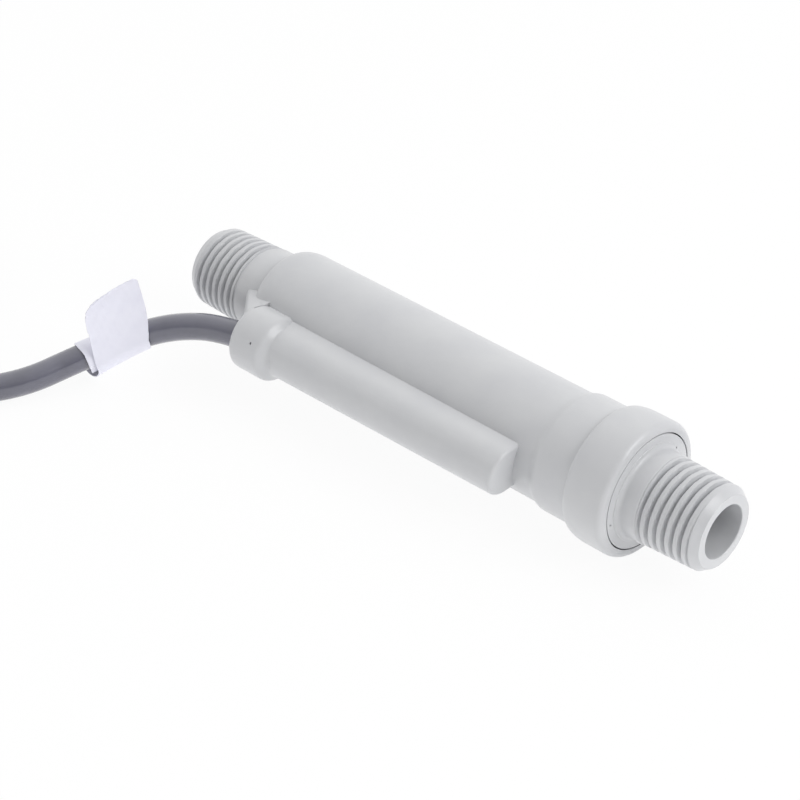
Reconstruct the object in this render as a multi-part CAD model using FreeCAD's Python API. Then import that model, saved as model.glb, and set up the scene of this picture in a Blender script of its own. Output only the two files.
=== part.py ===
import FreeCAD
import Part
import math
import os

# In-line piston flow sensor with pipe-threaded ports, a spring-loaded piston that carries a magnet,
# and a reed switch potted in a bar along the flank of the moulded housing. Millimetres.
# The flow axis is X, from the inlet face at x = 0. The reed bar points along -Y and +Z is up.

Vector = FreeCAD.Vector
ALONG_FLOW = Vector(1, 0, 0)
UP = Vector(0, 0, 1)

# Ports: quarter-inch taper pipe thread, drawn as its plain crest cylinder
THREAD_DIA = 13.5
THREAD_LENGTH = 10.2
PORT_BORE_DIA = 8.4
PORT_TIP_CHAMFER = 1.0
PORT_NECK_DIA = 13.88
INLET_NECK_LENGTH = 5.35

# Outside of the housing, from the inlet neck to the collar face
SHOULDER_LENGTH = 3.16
TUBE_DIA = 17.73
TUBE_LENGTH = 53.9
BAND_STEP_LENGTH = 2.26
BAND_DIA = 18.81
BAND_LENGTH = 5.57
COLLAR_STEP_LENGTH = 2.84
COLLAR_DIA = 21.28
COLLAR_LENGTH = 4.47
COLLAR_EDGE_RADIUS = 1.07
STEP_FOOT_SHARE = 0.35

# Flow passage inside the housing
INLET_BORE_LENGTH = 27.0
METERING_DIA = 12.4
METERING_LENGTH = 7.0
CHAMBER_DIA = 13.2
CHAMBER_LEAD = 0.8

# Outlet fitting, bonded into the collar
FLANGE_DIA = 18.0
FLANGE_THICKNESS = 2.0
SEAM_GAP = 0.15
SPIGOT_DIA = 15.4
SPIGOT_LENGTH = 8.8
SPIGOT_CLEARANCE = 0.1
SPRING_POCKET_DIA = 11.0
SPRING_POCKET_DEPTH = 5.0
SPRING_POCKET_CLEARANCE = 0.4
NECK_RING_DIA = 15.3
NECK_RING_HEIGHT = 0.9
OUTLET_NECK_LENGTH = 3.24
O_RING_CORD = 1.5
O_RING_SQUEEZE = 0.2
O_RING_SETBACK = 4.6

# Piston, magnet, cap and spring
PISTON_CLEARANCE = 0.25
PISTON_LENGTH = 22.0
PISTON_LAND_LENGTH = 4.0
PISTON_WAIST_DIA = 10.4
PISTON_EDGE = 0.6
RIB_COUNT = 4
RIB_WIDTH = 2.2
RIB_LENGTH = 9.0
MAGNET_DIA = 6.4
MAGNET_LENGTH = 12.0
CAP_FLANGE_MARGIN = 0.1
CAP_FLANGE_THICKNESS = 1.2
CAP_BOSS_CLEARANCE = 0.4
CAP_BOSS_LENGTH = 2.6
CAP_PLUG_LENGTH = 3.0
SPRING_WIRE_DIA = 0.6
SPRING_TURNS = 9

# Reed bar and cup on the flank of the housing
BAR_REAR_REACH = 14.45
BAR_FRONT_REACH = 14.0
BAR_REAR_HEIGHT = 8.15
BAR_FRONT_HEIGHT = 7.9
BAR_END_SETBACK = 2.3
BAR_END_LEAN = 5.0
BAR_END_EDGE_RADIUS = 0.6
CUP_OFFSET = 10.65
CUP_DIA = 10.5
CUP_LENGTH = 4.7
CUP_REAR_EDGE = 0.6
CUP_SHOULDER_LENGTH = 3.4
CUP_SHOULDER_DIA = 7.6
CUP_BORE_DIA = 7.4
CUP_BORE_DEPTH = 5.8
WEB_LENGTH = 5.5
WEB_OVERHANG = 1.8
WEB_TOP = 4.35
WEB_THICKNESS = 0.9
WEB_ROOT = 1.2
WEB_DROP = 0.8
POCKET_OFFSET = 10.1
POCKET_DIA = 4.6
POCKET_END_WALL = 3.4

# Reed switch and its wiring
GLASS_DIA = 2.6
GLASS_LENGTH = 15.0
GLASS_WALL = 0.35
GLASS_SEAL_LENGTH = 2.4
GLASS_DROP = 0.85
GLASS_END_GAP = 5.0
REED_LEAD_DIA = 0.6
REED_LEAD_LENGTH = 4.0
BLADE_WIDTH = 1.2
BLADE_THICKNESS = 0.25
BLADE_OVERLAP = 1.2
CONTACT_GAP = 0.15
INNER_WIRE_DIA = 0.9
INNER_WIRE_RISE = 1.4
SLEEVE_DIA = 1.4
SLEEVE_LENGTH = 4.0
SLEEVE_LAP = 1.5

# Potting and cable
POTTING_RECESS = 0.5
CABLE_DIA = 4.3
CABLE_OFFSET = 11.0
CABLE_END_DEPTH = 3.9

# Route of the cable from the cup's rim to the coil, chosen by hand; the last points lie on the floor
CABLE_DROP = COLLAR_DIA / 2 - CABLE_DIA / 2
CABLE_ROUTE = [
    Vector(14.4, -11.9, -0.1),
    Vector(6.6, -15.2, -1.4),
    Vector(0.3, -20.1, -4.3),
    Vector(-4.1, -27.2, -6.9),
    Vector(-6.8, -35.5, -CABLE_DROP),
    Vector(-11.2, -42.9, -CABLE_DROP),
    Vector(-17.7, -49.2, -CABLE_DROP),
    Vector(-24.8, -53.3, -CABLE_DROP),
    Vector(-35.3, -56.7, -CABLE_DROP),
    Vector(-45.1, -58.9, -CABLE_DROP),
    Vector(-54.3, -59.7, -CABLE_DROP),
]

# Coil of the put-away length: two turns side by side on the floor and one on the inner of them,
# then the stripped end lying on the outer one. Angles are degrees round the coil.
COIL_OUTER_TURN_RADIUS = 23.7
COIL_TURN_GAP = 0.07
COIL_EDGE = 1.6
TIE_WIDTH = 3.6
TIE_THICKNESS = 0.5
TIE_ANGLE = 162.0
TAIL_ANGLE = 259.0
TAIL_SWEEP = 245.0
CORE_DIA = 1.5
CORE_GAP = 0.3
CORE_DROP = 0.8
CORE_SWEEP = 60.0
TIP_DIA = 0.9
TIP_SWEEP = 13.0

# Blank tag: a cuff round the cable and a flag that lines up with the cable at one place
TAG_DISTANCE = 29.4
TAG_SETBACK = 7.33
TAG_WIDTH = 9.3
TAG_HEIGHT = 11.4
TAG_THICKNESS = 0.35
TAG_SKEW = 14.0
TAG_CUFF_SHIFT = 1.5

# Stations along the flow axis
x_inlet_neck = THREAD_LENGTH
x_shoulder = x_inlet_neck + INLET_NECK_LENGTH
x_tube = x_shoulder + SHOULDER_LENGTH
x_band_step = x_tube + TUBE_LENGTH
x_band = x_band_step + BAND_STEP_LENGTH
x_collar_step = x_band + BAND_LENGTH
x_collar = x_collar_step + COLLAR_STEP_LENGTH
x_face = x_collar + COLLAR_LENGTH
x_outlet_thread = x_face + OUTLET_NECK_LENGTH
x_outlet = x_outlet_thread + THREAD_LENGTH
x_socket = x_face - SPIGOT_LENGTH - SPIGOT_CLEARANCE
x_spigot = x_face - SPIGOT_LENGTH
x_spring_seat = x_spigot + SPRING_POCKET_DEPTH
x_seat = INLET_BORE_LENGTH
x_metering_end = x_seat + METERING_LENGTH
x_piston_end = x_seat + PISTON_LENGTH
x_cap_face = x_piston_end + CAP_FLANGE_THICKNESS
x_cup = x_tube
x_cup_shoulder = x_cup + CUP_LENGTH
x_cup_bottom = x_cup + CUP_BORE_DEPTH
x_bar_end = x_band_step - BAR_END_SETBACK
x_pocket_end = x_bar_end - POCKET_END_WALL
x_glass_front = x_pocket_end - GLASS_END_GAP
x_glass_rear = x_glass_front - GLASS_LENGTH
x_cable_end = x_cup + CABLE_END_DEPTH

# Spring radii: outside in the fitting's pocket, and inside round the cap's boss
r_spring_outer = SPRING_POCKET_DIA / 2 - SPRING_POCKET_CLEARANCE
r_spring_inner = r_spring_outer - SPRING_WIRE_DIA

# Heights of the reed switch and of the return wire beside it, and the floor under the coil
z_glass = -GLASS_DROP
z_wire = INNER_WIRE_RISE
z_floor = -COLLAR_DIA / 2

# Bend of the front lead, and the rear ends of the two splice sleeves
reed_bend = (z_wire - z_glass) / 2
x_reed_bend = x_pocket_end - reed_bend - REED_LEAD_DIA
x_front_splice = x_reed_bend - SLEEVE_LENGTH
x_rear_splice = x_glass_rear - REED_LEAD_LENGTH + SLEEVE_LAP - SLEEVE_LENGTH


def straight(start, end):
    """Straight edge of an outline; points are (station, radius)."""
    return Part.LineSegment(Vector(*start), Vector(*end)).toShape()


def rounded(start, corner, end):
    """Quarter of an ellipse from start to end, tangent to the two sides that meet at the corner."""
    curve = Part.BezierCurve()
    curve.setPoles([Vector(*start), Vector(*corner), Vector(*end)])
    curve.setWeight(2, math.sqrt(0.5))
    return curve.toShape()


def eased(start, end):
    """Smooth step that leaves and arrives parallel to the axis."""
    middle = (start[0] + end[0]) / 2
    curve = Part.BezierCurve()
    curve.setPoles([Vector(*start), Vector(middle, start[1]), Vector(middle, end[1]), Vector(*end)])
    return curve.toShape()


def turned(edges, offset=0.0):
    """Solid turned from a closed outline about an axis along X, at y = -offset."""
    face = Part.Face(Part.Wire(edges))
    solid = face.revolve(Vector(0, 0, 0), ALONG_FLOW, 360)
    solid.translate(Vector(0, -offset, 0))
    return solid


def stepped(points):
    """Solid turned from straight edges through the points, closed on the axis."""
    corners = [(points[0][0], 0.0)] + points + [(points[-1][0], 0.0)]
    edges = [straight(a, b) for a, b in zip(corners, corners[1:] + corners[:1])]
    return turned(edges)


def rod(start, end, diameter):
    """Plain cylinder between two points."""
    return Part.makeCylinder(diameter / 2, (end - start).Length, start, end - start)


def swept(path, diameter):
    """Round bar swept along a wire, with flat ends square to it."""
    first = path.Edges[0]
    start = first.valueAt(first.FirstParameter)
    heading = first.tangentAt(first.FirstParameter)
    ring = Part.Wire(Part.makeCircle(diameter / 2, start, heading))
    return path.makePipeShell([ring], True, True)


def rounded_path(points):
    """Wire of straight runs joined by arcs as large as the runs allow, and the arcs' radii."""
    share = 0.45
    edges = []
    radii = []
    last = points[0]
    for before, corner, after in zip(points, points[1:], points[2:]):
        arrive = (corner - before).normalize()
        leave = (after - corner).normalize()
        turn = arrive.getAngle(leave)
        setback = share * min((corner - before).Length, (after - corner).Length)
        radius = setback / math.tan(turn / 2)
        enter = corner - arrive * setback
        exit_point = corner + leave * setback
        inward = (leave - arrive).normalize()
        middle = corner + inward * (radius / math.cos(turn / 2) - radius)
        edges.append(Part.LineSegment(last, enter).toShape())
        edges.append(Part.Arc(enter, middle, exit_point).toShape())
        radii.append(radius)
        last = exit_point
    edges.append(Part.LineSegment(last, points[-1]).toShape())
    return Part.Wire(edges), radii


def housing_outside():
    """Inlet port, neck, tube, band and collar as one turned solid."""
    thread = THREAD_DIA / 2
    neck = PORT_NECK_DIA / 2
    tube = TUBE_DIA / 2
    band = BAND_DIA / 2
    collar = COLLAR_DIA / 2
    edge = COLLAR_EDGE_RADIUS
    tube_foot = STEP_FOOT_SHARE * (tube - neck)
    collar_foot = STEP_FOOT_SHARE * (collar - band)
    return turned([
        straight((0, 0), (0, thread - PORT_TIP_CHAMFER)),
        straight((0, thread - PORT_TIP_CHAMFER), (PORT_TIP_CHAMFER, thread)),
        straight((PORT_TIP_CHAMFER, thread), (x_inlet_neck, thread)),
        straight((x_inlet_neck, thread), (x_inlet_neck, neck)),
        straight((x_inlet_neck, neck), (x_shoulder - tube_foot, neck)),
        rounded((x_shoulder - tube_foot, neck), (x_shoulder, neck), (x_shoulder, neck + tube_foot)),
        rounded((x_shoulder, neck + tube_foot), (x_shoulder, tube), (x_tube, tube)),
        straight((x_tube, tube), (x_band_step, tube)),
        eased((x_band_step, tube), (x_band, band)),
        straight((x_band, band), (x_collar_step - collar_foot, band)),
        rounded((x_collar_step - collar_foot, band), (x_collar_step, band), (x_collar_step, band + collar_foot)),
        rounded((x_collar_step, band + collar_foot), (x_collar_step, collar), (x_collar, collar)),
        straight((x_collar, collar), (x_face - edge, collar)),
        rounded((x_face - edge, collar), (x_face, collar), (x_face, collar - edge)),
        straight((x_face, collar - edge), (x_face, 0)),
        straight((x_face, 0), (0, 0)),
    ])


def flow_passage():
    """Inlet bore, metering bore, piston chamber and the stepped socket for the outlet fitting."""
    bore = PORT_BORE_DIA / 2
    metering = METERING_DIA / 2
    chamber = CHAMBER_DIA / 2
    socket = SPIGOT_DIA / 2 + SPIGOT_CLEARANCE
    mouth = FLANGE_DIA / 2 + SEAM_GAP
    x_mouth = x_face - FLANGE_THICKNESS
    return stepped([
        (0, bore),
        (x_seat, bore),
        (x_seat, metering),
        (x_metering_end, metering),
        (x_metering_end + CHAMBER_LEAD, chamber),
        (x_socket, chamber),
        (x_socket, socket),
        (x_mouth, socket),
        (x_mouth, mouth),
        (x_face, mouth),
    ])


def bar_section(station, reach, height, lean):
    """Outline of the reed bar square to the flow: flat top and bottom, half-round outer side."""
    half = height / 2
    root = math.sqrt((TUBE_DIA / 2) ** 2 - half ** 2) - BAR_END_EDGE_RADIUS
    flat = reach - half
    slope = math.tan(math.radians(lean))

    def place(distance, level):
        return Vector(station + level * slope, -distance, level)

    return Part.Wire([
        Part.LineSegment(place(root, half), place(flat, half)).toShape(),
        Part.Arc(place(flat, half), place(reach, 0), place(flat, -half)).toShape(),
        Part.LineSegment(place(flat, -half), place(root, -half)).toShape(),
        Part.LineSegment(place(root, -half), place(root, half)).toShape(),
    ])


def reed_bar():
    """Drafted bar along the tube, with its leaning closed end rounded on the outer edges."""
    x_rear = x_cup + CUP_REAR_EDGE
    rear = bar_section(x_rear, BAR_REAR_REACH, BAR_REAR_HEIGHT, 0)
    front = bar_section(x_bar_end, BAR_FRONT_REACH, BAR_FRONT_HEIGHT, BAR_END_LEAN)
    bar = Part.makeLoft([rear, front], True, True)
    end_zone = x_bar_end - BAR_FRONT_HEIGHT / 2
    root = math.sqrt((TUBE_DIA / 2) ** 2 - (BAR_FRONT_HEIGHT / 2) ** 2)
    end_edges = []
    for edge in bar.Edges:
        box = edge.BoundBox
        if box.XMin > end_zone and -box.YMin > root:
            end_edges.append(edge)
    return bar.makeFillet(BAR_END_EDGE_RADIUS, end_edges)


def cup():
    """Round cup for the cable at the bar's rear, with a soft rear rim and a smooth step to the bar."""
    radius = CUP_DIA / 2
    x_end = x_cup_shoulder + CUP_SHOULDER_LENGTH
    edge = CUP_REAR_EDGE
    foot = CUP_SHOULDER_DIA / 2
    return turned([
        straight((x_cup, 0), (x_cup, radius - edge)),
        rounded((x_cup, radius - edge), (x_cup, radius), (x_cup + edge, radius)),
        straight((x_cup + edge, radius), (x_cup_shoulder, radius)),
        eased((x_cup_shoulder, radius), (x_end, foot)),
        straight((x_end, foot), (x_end, 0)),
        straight((x_end, 0), (x_cup, 0)),
    ], CUP_OFFSET)


def cup_web():
    """Flat web above the cable, from the cup's rear rim down to the inlet neck, rooted in both."""
    low = WEB_TOP - WEB_THICKNESS
    at_neck = low - WEB_DROP
    neck_reach = math.sqrt((PORT_NECK_DIA / 2) ** 2 - at_neck ** 2)
    neck_side = Vector(x_cup - WEB_LENGTH, -neck_reach, at_neck)
    cup_side = Vector(x_cup, -CUP_OFFSET - WEB_OVERHANG, low)
    root = (cup_side - neck_side).normalize() * WEB_ROOT
    start = neck_side - root
    end = cup_side + root
    outline = Part.makePolygon([start, end, Vector(end.x, start.y, low), start])
    return Part.Face(outline).extrude(UP * WEB_THICKNESS)


def main_housing():
    """The moulded housing: turned outside, bar, cup and web, then every hollow."""
    cup_axis = Vector(x_cup, -CUP_OFFSET, 0)
    cup_bore = rod(cup_axis, cup_axis + ALONG_FLOW * CUP_BORE_DEPTH, CUP_BORE_DIA)
    pocket = rod(
        Vector(x_cup_bottom, -POCKET_OFFSET, 0),
        Vector(x_pocket_end, -POCKET_OFFSET, 0),
        POCKET_DIA,
    )
    outside = housing_outside().fuse([reed_bar(), cup(), cup_web()])
    return outside.cut([flow_passage(), cup_bore, pocket]).removeSplitter()


def outlet_fitting():
    """Flange and spigot in the collar, stepped neck ring, threaded port, bore and spring pocket."""
    thread = THREAD_DIA / 2
    neck = PORT_NECK_DIA / 2
    spigot = SPIGOT_DIA / 2
    x_flange = x_face - FLANGE_THICKNESS
    x_ring = x_face + NECK_RING_HEIGHT
    groove_floor = spigot + SPIGOT_CLEARANCE + O_RING_SQUEEZE - O_RING_CORD
    groove_start = x_face - O_RING_SETBACK - O_RING_CORD / 2 - O_RING_SQUEEZE
    groove_end = x_face - O_RING_SETBACK + O_RING_CORD / 2 + O_RING_SQUEEZE
    outside = stepped([
        (x_spigot, spigot),
        (groove_start, spigot),
        (groove_start, groove_floor),
        (groove_end, groove_floor),
        (groove_end, spigot),
        (x_flange, spigot),
        (x_flange, FLANGE_DIA / 2),
        (x_face, FLANGE_DIA / 2),
        (x_face, NECK_RING_DIA / 2),
        (x_ring, neck),
        (x_outlet_thread, neck),
        (x_outlet_thread, thread),
        (x_outlet - PORT_TIP_CHAMFER, thread),
        (x_outlet, thread - PORT_TIP_CHAMFER),
    ])
    inside = stepped([
        (x_spigot, SPRING_POCKET_DIA / 2),
        (x_spring_seat, SPRING_POCKET_DIA / 2),
        (x_spring_seat, PORT_BORE_DIA / 2),
        (x_outlet, PORT_BORE_DIA / 2),
    ])
    return outside.cut(inside)


def outlet_o_ring():
    """O-ring squeezed flat between the groove floor and the socket wall."""
    outer = SPIGOT_DIA / 2 + SPIGOT_CLEARANCE
    inner = outer + O_RING_SQUEEZE - O_RING_CORD
    middle = (inner + outer) / 2
    centre = x_face - O_RING_SETBACK
    rear = centre - O_RING_CORD / 2
    front = centre + O_RING_CORD / 2
    flat_rear = centre - O_RING_SQUEEZE
    flat_front = centre + O_RING_SQUEEZE
    return turned([
        straight((flat_rear, inner), (flat_front, inner)),
        rounded((flat_front, inner), (front, inner), (front, middle)),
        rounded((front, middle), (front, outer), (flat_front, outer)),
        straight((flat_front, outer), (flat_rear, outer)),
        rounded((flat_rear, outer), (rear, outer), (rear, middle)),
        rounded((rear, middle), (rear, inner), (flat_rear, inner)),
    ])


def piston():
    """Shuttle with a sealing land, a waist, guide ribs and a blind pocket for the magnet."""
    land = METERING_DIA / 2 - PISTON_CLEARANCE
    waist = PISTON_WAIST_DIA / 2
    x_land = x_seat + PISTON_LAND_LENGTH
    body = stepped([
        (x_seat, land - PISTON_EDGE),
        (x_seat + PISTON_EDGE, land),
        (x_land, land),
        (x_land + land - waist, waist),
        (x_piston_end, waist),
    ])
    guide = CHAMBER_DIA / 2 - PISTON_CLEARANCE
    x_rib = x_piston_end - RIB_LENGTH
    rib_envelope = stepped([
        (x_rib, waist),
        (x_rib + guide - waist, guide),
        (x_piston_end - PISTON_EDGE, guide),
        (x_piston_end, guide - PISTON_EDGE),
    ])
    for index in range(RIB_COUNT):
        blade = Part.makeBox(PISTON_LENGTH, RIB_WIDTH, guide, Vector(x_seat, -RIB_WIDTH / 2, 0))
        blade.rotate(Vector(0, 0, 0), ALONG_FLOW, (index + 0.5) * 360 / RIB_COUNT)
        body = body.fuse(blade.common(rib_envelope))
    pocket_depth = MAGNET_LENGTH + CAP_PLUG_LENGTH
    pocket = rod(Vector(x_piston_end - pocket_depth, 0, 0), Vector(x_piston_end, 0, 0), MAGNET_DIA)
    return body.cut(pocket).removeSplitter()


def piston_magnet():
    """Round bar magnet at the bottom of the piston's pocket."""
    x_end = x_piston_end - CAP_PLUG_LENGTH
    return rod(Vector(x_end - MAGNET_LENGTH, 0, 0), Vector(x_end, 0, 0), MAGNET_DIA)


def magnet_cap():
    """Plug that closes the magnet pocket, with a flange that the spring bears on and a centring boss."""
    plug = MAGNET_DIA / 2
    flange = r_spring_outer + CAP_FLANGE_MARGIN
    boss = r_spring_inner - CAP_BOSS_CLEARANCE
    x_boss = x_cap_face + CAP_BOSS_LENGTH
    return stepped([
        (x_piston_end - CAP_PLUG_LENGTH, plug),
        (x_piston_end, plug),
        (x_piston_end, flange),
        (x_cap_face, flange),
        (x_cap_face, boss),
        (x_boss - PISTON_EDGE, boss),
        (x_boss, boss - PISTON_EDGE),
    ])


def return_spring():
    """Round-wire compression spring between the cap's flange and the fitting's spring seat."""
    wire = SPRING_WIRE_DIA / 2
    radius = r_spring_outer - wire
    length = x_spring_seat - x_cap_face - SPRING_WIRE_DIA
    helix = Part.makeHelix(length / SPRING_TURNS, length, radius)
    section = Part.Wire(Part.makeCircle(wire, Vector(radius, 0, 0), Vector(0, 1, 0)))
    spring = Part.Wire(helix.Edges).makePipeShell([section], True, True)
    spring.rotate(Vector(0, 0, 0), Vector(0, 1, 0), 90)
    spring.translate(Vector(x_cap_face + wire, 0, 0))
    return spring


def reed_capsule():
    """Glass tube with solid sealed ends, each closed round its lead."""
    glass = GLASS_DIA / 2
    lead = REED_LEAD_DIA / 2
    axis = Vector(x_glass_rear, -POCKET_OFFSET, z_glass)
    capsule = rod(axis, axis + ALONG_FLOW * GLASS_LENGTH, GLASS_DIA)
    hollow = rod(
        axis + ALONG_FLOW * GLASS_SEAL_LENGTH,
        axis + ALONG_FLOW * (GLASS_LENGTH - GLASS_SEAL_LENGTH),
        GLASS_DIA - 2 * GLASS_WALL,
    )
    capsule = capsule.makeFillet((glass - lead) / 2, capsule.Edges)
    leads = rod(axis, axis + ALONG_FLOW * GLASS_LENGTH, REED_LEAD_DIA)
    return capsule.cut([hollow, leads])


def reed_blade(x_seal, x_tip, level):
    """Flattened contact blade inside the glass, from the seal's inner face to its tip."""
    length = abs(x_tip - x_seal)
    corner = Vector(min(x_seal, x_tip), -POCKET_OFFSET - BLADE_WIDTH / 2, level)
    return Part.makeBox(length, BLADE_WIDTH, BLADE_THICKNESS, corner)


def reed_blade_rear():
    """Rear lead and its blade, which lies under the front one."""
    x_seal = x_glass_rear + GLASS_SEAL_LENGTH
    x_tip = x_glass_rear + GLASS_LENGTH / 2 + BLADE_OVERLAP / 2
    axis = Vector(x_glass_rear - REED_LEAD_LENGTH, -POCKET_OFFSET, z_glass)
    lead = rod(axis, Vector(x_seal, axis.y, axis.z), REED_LEAD_DIA)
    level = z_glass - CONTACT_GAP / 2 - BLADE_THICKNESS
    return lead.fuse(reed_blade(x_seal, x_tip, level))


def reed_blade_front():
    """Front lead, turned back over the glass to meet the return wire, and its upper blade."""
    x_seal = x_glass_front - GLASS_SEAL_LENGTH
    x_tip = x_glass_front - GLASS_LENGTH / 2 - BLADE_OVERLAP / 2
    low = Vector(x_seal, -POCKET_OFFSET, z_glass)
    high = Vector(x_reed_bend - SLEEVE_LAP, -POCKET_OFFSET, z_wire)
    turn_start = Vector(x_reed_bend, -POCKET_OFFSET, z_glass)
    turn_middle = Vector(x_reed_bend + reed_bend, -POCKET_OFFSET, (z_glass + z_wire) / 2)
    turn_end = Vector(x_reed_bend, -POCKET_OFFSET, z_wire)
    path = Part.Wire([
        Part.LineSegment(low, turn_start).toShape(),
        Part.Arc(turn_start, turn_middle, turn_end).toShape(),
        Part.LineSegment(turn_end, high).toShape(),
    ])
    level = z_glass + CONTACT_GAP / 2
    return swept(path, REED_LEAD_DIA).fuse(reed_blade(x_seal, x_tip, level))


def splice_sleeve(x_rear, level):
    """Crimped sleeve with a core in its rear end and a reed lead in its front end."""
    rear = Vector(x_rear, -POCKET_OFFSET, level)
    front = rear + ALONG_FLOW * SLEEVE_LENGTH
    core = rod(rear, rear + ALONG_FLOW * SLEEVE_LAP, INNER_WIRE_DIA)
    lead = rod(front - ALONG_FLOW * SLEEVE_LAP, front, REED_LEAD_DIA)
    return rod(rear, front, SLEEVE_DIA).cut([core, lead])


def inner_wire(level, x_sleeve):
    """Insulated core from the cable's end face, eased to its level in the pocket, to its sleeve."""
    beside = math.copysign(INNER_WIRE_DIA, level)
    start = Vector(x_cable_end - INNER_WIRE_DIA, -CABLE_OFFSET, beside)
    leave = Vector(x_cup_bottom, -CABLE_OFFSET, beside)
    arrive = Vector(x_cup_bottom + CUP_BORE_DIA, -POCKET_OFFSET, level)
    end = Vector(x_sleeve + SLEEVE_LAP, -POCKET_OFFSET, level)
    path, radii = rounded_path([start, leave, arrive, end])
    return swept(path, INNER_WIRE_DIA).cut(cable_lead())


def cable_path():
    """Path of the uncoiled cable from its end in the cup to the start of the coil, and its radii."""
    return rounded_path([Vector(x_cable_end, -CABLE_OFFSET, 0)] + CABLE_ROUTE)


def cable_lead():
    """Jacketed cable from the potting to the coil."""
    path, radii = cable_path()
    return swept(path, CABLE_DIA)


def potting_plug():
    """Resin in the cup, a little below its rim, with the cable and the two cores through it."""
    axis = Vector(x_cup + POTTING_RECESS, -CUP_OFFSET, 0)
    plug = rod(axis, Vector(x_cup_bottom, -CUP_OFFSET, 0), CUP_BORE_DIA)
    return plug.cut([cable_lead(), inner_wire(z_wire, x_front_splice), inner_wire(z_glass, x_rear_splice)])


def coil_centre():
    """Centre of the coil, to the right of the cable's last heading."""
    heading = (CABLE_ROUTE[-1] - CABLE_ROUTE[-2]).normalize()
    side = heading.cross(UP)
    return CABLE_ROUTE[-1] + side * COIL_OUTER_TURN_RADIUS


def coil_ring():
    """Inner and outer radius of the coil, and the outer radius of its upper turn."""
    pitch = CABLE_DIA + COIL_TURN_GAP
    outer = COIL_OUTER_TURN_RADIUS + CABLE_DIA / 2
    inner = outer - pitch - CABLE_DIA
    return inner, outer, outer - pitch


def coil_tie():
    """Flat tie closed round the turns of the coil on one side, its underside pressed into them."""
    inner, outer, step = coil_ring()
    centre = coil_centre()
    wall = TIE_THICKNESS
    width = outer - inner
    height = 2 * CABLE_DIA
    low = Vector(inner - wall, -TIE_WIDTH / 2, z_floor)
    band = Part.makeBox(width + 2 * wall, TIE_WIDTH, height + wall, low)
    hole = Part.makeBox(width, TIE_WIDTH, height - wall, low + Vector(wall, 0, wall))
    across = [edge for edge in band.Edges if edge.BoundBox.YLength > TIE_WIDTH / 2]
    band = band.makeFillet(COIL_EDGE, across)
    across = [edge for edge in hole.Edges if edge.BoundBox.YLength > TIE_WIDTH / 2]
    hole = hole.makeFillet(COIL_EDGE - wall, across)
    tie = band.cut(hole)
    tie.rotate(Vector(0, 0, 0), UP, TIE_ANGLE)
    tie.translate(Vector(centre.x, centre.y, 0))
    return tie


def cable_coil():
    """Outer shape of the wound turns: a stepped ring with rounded edges, nipped by the tie."""
    inner, outer, step = coil_ring()
    centre = coil_centre()
    base = Vector(centre.x, centre.y, z_floor)
    height = 2 * CABLE_DIA
    ring = Part.makeCylinder(outer, CABLE_DIA, base).fuse(Part.makeCylinder(step, height, base))
    ring = ring.cut(Part.makeCylinder(inner, height, base)).removeSplitter()
    z_step = z_floor + CABLE_DIA
    outside_edges = []
    for edge in ring.Edges:
        box = edge.BoundBox
        in_step = abs(box.ZMin - z_step) < COIL_TURN_GAP and box.XLength < 2 * step + COIL_TURN_GAP
        if box.ZLength < COIL_TURN_GAP and not in_step:
            outside_edges.append(edge)
    return ring.makeFillet(COIL_EDGE, outside_edges).cut(coil_tie())


def lying_arc(radius, start_angle, sweep, level):
    """Wire along a level arc about the coil's centre, turning as the coil is wound."""
    centre = coil_centre()
    joint = CABLE_ROUTE[-1] - centre
    points = []
    for share in (0.0, 0.5, 1.0):
        angle = math.atan2(joint.y, joint.x) - math.radians(start_angle + sweep * share)
        spoke = Vector(math.cos(angle), math.sin(angle), 0) * radius
        points.append(Vector(centre.x, centre.y, level) + spoke)
    return Part.Wire(Part.Arc(*points).toShape())


def cable_tail():
    """Last stretch of jacketed cable, lying on the outer turn of the coil."""
    level = CABLE_DIA - CABLE_DROP
    return swept(lying_arc(COIL_OUTER_TURN_RADIUS, TAIL_ANGLE, TAIL_SWEEP, level), CABLE_DIA)


def core_arc(side, start_angle, sweep):
    """Wire along one of the two stripped-back cores, which sag a little below the jacket's middle."""
    radius = COIL_OUTER_TURN_RADIUS + side * (CORE_DIA + CORE_GAP) / 2
    return lying_arc(radius, start_angle, sweep, CABLE_DIA - CABLE_DROP - CORE_DROP)


def lead_wire(side):
    """Insulated core that comes out of the jacket, side by side with the other."""
    return swept(core_arc(side, TAIL_ANGLE + TAIL_SWEEP, CORE_SWEEP), CORE_DIA)


def lead_tip(side):
    """Stripped and tinned strands at the end of a core."""
    return swept(core_arc(side, TAIL_ANGLE + TAIL_SWEEP + CORE_SWEEP, TIP_SWEEP), TIP_DIA)


def along_cable(distance):
    """Point and heading on the cable's path at a distance from its end in the cup."""
    path, radii = cable_path()
    left = distance
    for edge in path.Edges:
        if left <= edge.Length:
            break
        left -= edge.Length
    place = edge.getParameterByLength(left)
    return edge.valueAt(place), edge.tangentAt(place)


def cable_tag():
    """Blank tag: a cuff round the cable and a skewed flag that stands up on its near side."""
    point, along = along_cable(TAG_DISTANCE)
    outward = UP.cross(along).normalize()
    rise = along.cross(outward)
    edge = point - along * TAG_SETBACK
    path, radii = cable_path()
    sleeve = swept(path, CABLE_DIA + 2 * TAG_THICKNESS)
    slab = Part.makeCylinder(TAG_WIDTH, TAG_WIDTH, edge + along * TAG_CUFF_SHIFT, along)
    skew = math.radians(TAG_SKEW)
    reach = (rise * math.cos(skew) - along * math.sin(skew)) * TAG_HEIGHT
    root = edge + outward * (CABLE_DIA / 2)
    width = along * TAG_WIDTH
    outline = Part.makePolygon([root, root + width, root + width + reach, root + reach, root])
    flag = Part.Face(outline).extrude(outward * TAG_THICKNESS)
    return sleeve.common(slab).fuse(flag).cut(cable_lead())


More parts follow.
